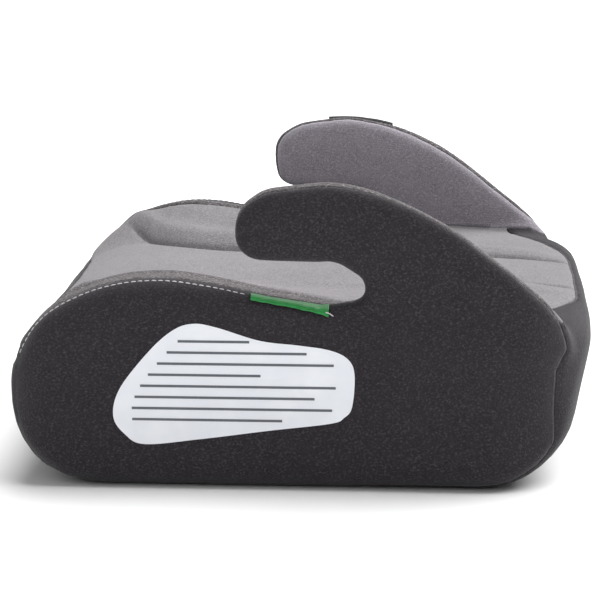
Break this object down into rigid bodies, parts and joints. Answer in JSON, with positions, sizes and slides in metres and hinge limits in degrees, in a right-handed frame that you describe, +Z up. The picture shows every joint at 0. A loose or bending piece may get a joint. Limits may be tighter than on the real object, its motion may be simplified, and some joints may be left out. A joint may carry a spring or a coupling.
{
  "type": "child booster seat",
  "caption": "Backless child car booster seat: padded fabric-covered seat with two hooked armrests that guide the lap belt, on a moulded shell with rubber feet.",
  "frame": {"origin": "on the floor, under the middle of the seat", "axes": "+Z up, the seat faces -Y, +X towards the seated child's left"},
  "size_m": [0.431, 0.4139, 0.2153],
  "materials": {
    "dark_fabric": "charcoal melange knit",
    "light_fabric": "light grey melange knit",
    "strip_fabric": "light grey open knit",
    "foam": "soft open-cell foam",
    "shell_plastic": "moulded, fine texture",
    "screw_steel": "zinc plated",
    "foot_rubber": "soft matt",
    "thread": "white thread",
    "green_ribbon": "woven ribbon",
    "label_print": "smooth printed film",
    "patch_weave": "woven tape",
    "elastic": "ribbed elastic",
    "hook_plastic": "smooth"
  },
  "bodies": {
    "root": {"body_shell": "shell_plastic", "base_plate": "shell_plastic", "base_plate_screws": "screw_steel", "anti_slip_feet": "foot_rubber", "left_side_cover": "shell_plastic", "right_side_cover": "shell_plastic", "left_cover_screws": "screw_steel", "right_cover_screws": "screw_steel", "seat_foam": "foam", "left_bolster_foam": "foam", "right_bolster_foam": "foam", "left_armrest_foam": "foam", "right_armrest_foam": "foam", "seat_panel": "light_fabric", "left_armrest_lining": "light_fabric", "right_armrest_lining": "light_fabric", "left_gusset_strip": "strip_fabric", "right_gusset_strip": "strip_fabric", "left_side_panel": "dark_fabric", "right_side_panel": "dark_fabric", "front_panel": "dark_fabric", "back_panel": "dark_fabric", "rear_piping": "dark_fabric", "left_topstitch": "thread", "right_topstitch": "thread", "left_belt_marker": "green_ribbon", "right_belt_marker": "green_ribbon", "instruction_label": "label_print", "armrest_patch": "patch_weave", "hem_elastic": "elastic", "hem_hooks": "hook_plastic"}
  },
  "joints": []
}
